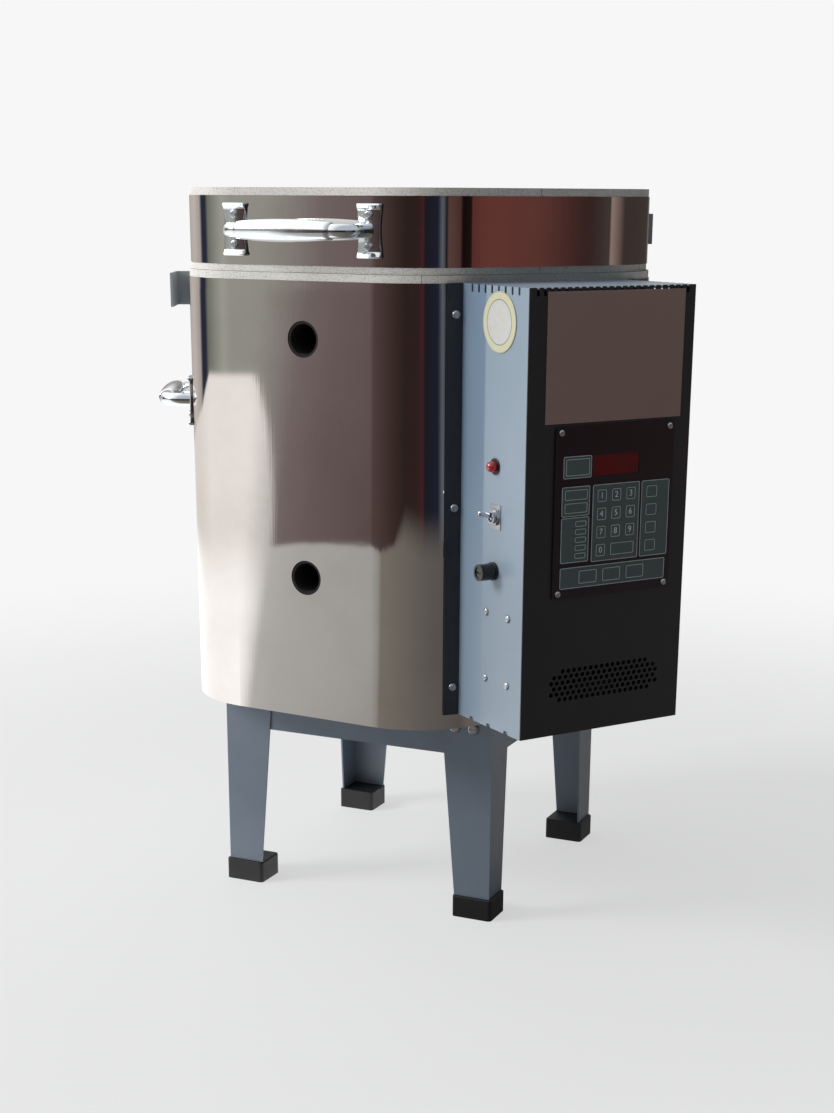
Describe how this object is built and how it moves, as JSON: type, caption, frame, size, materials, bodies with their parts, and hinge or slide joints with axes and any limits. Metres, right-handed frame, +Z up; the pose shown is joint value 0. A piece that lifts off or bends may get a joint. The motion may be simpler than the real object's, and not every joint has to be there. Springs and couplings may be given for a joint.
{
  "type": "electric kiln",
  "caption": "Six-sided top-loading electric kiln with a hinged lid, peepholes, carrying handles and a side control box, on a four-legged stand.",
  "frame": {"origin": "on the floor, under the middle of the whole kiln's outline, box and handles included", "axes": "+Z up; -Y is the front flat with the two peepholes and the lid handle; the control box is on the flat 60 degrees to the right of it; the lid's hinge is at +Y"},
  "size_m": [0.601, 0.5231, 0.726],
  "materials": {
    "stand_paint": "satin slate blue-grey enamel",
    "boot_rubber": "black rubber",
    "zinc_screw": "bright zinc plate",
    "zinc_sheet": "dull galvanised sheet",
    "fibre_board": "pressed insulating board",
    "firebrick": "porous insulating firebrick",
    "bright_stainless": "bright-rolled stainless sheet",
    "element_wire": "oxidised resistance wire",
    "ceramic": "glazed white ceramic",
    "brass": "plain brass",
    "chrome": "polished chrome",
    "bracket_paint": "grey enamel",
    "hinge_steel": "zinc-plated steel",
    "box_paint": "light blue-grey enamel",
    "black_panel": "black enamel",
    "label_metal": "brushed metal foil, blank",
    "badge_metal": "pale ring round a bare silver disc",
    "controller_face": "maroon-black faceplate",
    "display_red": "dark red window",
    "keypad_grey": "grey-teal membrane",
    "circuit_board": "green board",
    "black_plastic": "black moulded plastic",
    "lamp_red": "red lens",
    "fuse_glass": "glass tube",
    "transformer_steel": "varnished laminations"
  },
  "bodies": {
    "kiln_body": {"stand_frame": "stand_paint", "leg_front_left": "stand_paint", "leg_front_right": "stand_paint", "leg_back_left": "stand_paint", "leg_back_right": "stand_paint", "boot_front_left": "boot_rubber", "boot_front_right": "boot_rubber", "boot_back_left": "boot_rubber", "boot_back_right": "boot_rubber", "stand_bolts": "zinc_screw", "floor_plate": "zinc_sheet", "floor_board": "fibre_board", "floor_slab": "firebrick", "brick_ring_bottom": "firebrick", "brick_ring_middle": "firebrick", "brick_ring_top": "firebrick", "body_jacket": "bright_stainless", "jacket_seam_strip": "bright_stainless", "sheet_screws": "zinc_screw", "element_bottom": "element_wire", "element_middle": "element_wire", "element_top": "element_wire", "element_bushings": "ceramic", "element_terminals": "brass", "thermocouple": "ceramic", "side_handle_left": "chrome", "side_handle_right": "chrome", "prop_bracket": "bracket_paint", "body_hinge_leaf": "hinge_steel", "hinge_pin": "hinge_steel", "box_shell": "box_paint", "front_panel": "black_panel", "heat_shield": "zinc_sheet", "label_plate": "label_metal", "badge": "badge_metal", "side_rivets": "zinc_screw", "controller_plate": "controller_face", "display_window": "display_red", "keypad": "keypad_grey", "controller_board": "circuit_board", "controller_screws": "zinc_screw", "pilot_lamp_body": "black_plastic", "pilot_lamp_lens": "lamp_red", "toggle_body": "zinc_screw", "toggle_nut": "zinc_screw", "fuse_holder": "black_plastic", "relay_plate": "zinc_sheet", "relays": "black_plastic", "transformer": "transformer_steel", "terminal_strip": "black_plastic", "cord_gland": "black_plastic"},
    "lid": {"lid_slab": "firebrick", "lid_band": "bright_stainless", "lid_band_clamp": "hinge_steel", "lid_handle": "chrome", "lid_screws": "zinc_screw", "lid_hinge_leaf": "hinge_steel"},
    "switch_lever": {"toggle_lever": "chrome"},
    "fuse_carrier": {"fuse_cap": "black_plastic", "fuse": "fuse_glass"}
  },
  "joints": [
    {"name": "lid_hinge", "type": "hinge", "parent": "kiln_body", "child": "lid", "pos_m": [-0.0393, 0.245, 0.6498], "axis": [-1, 0, 0], "range_deg": [0, 95]},
    {"name": "power_toggle", "type": "hinge", "parent": "kiln_body", "child": "switch_lever", "pos_m": [0.16731, -0.21854, 0.437], "axis": [0.866, -0.5, 0], "range_deg": [0, 36]},
    {"name": "fuse_cap_turn", "type": "hinge", "parent": "kiln_body", "child": "fuse_carrier", "pos_m": [0.16543, -0.2178, 0.386], "axis": [-0.5, -0.866, 0], "range_deg": [0, 90]}
  ]
}
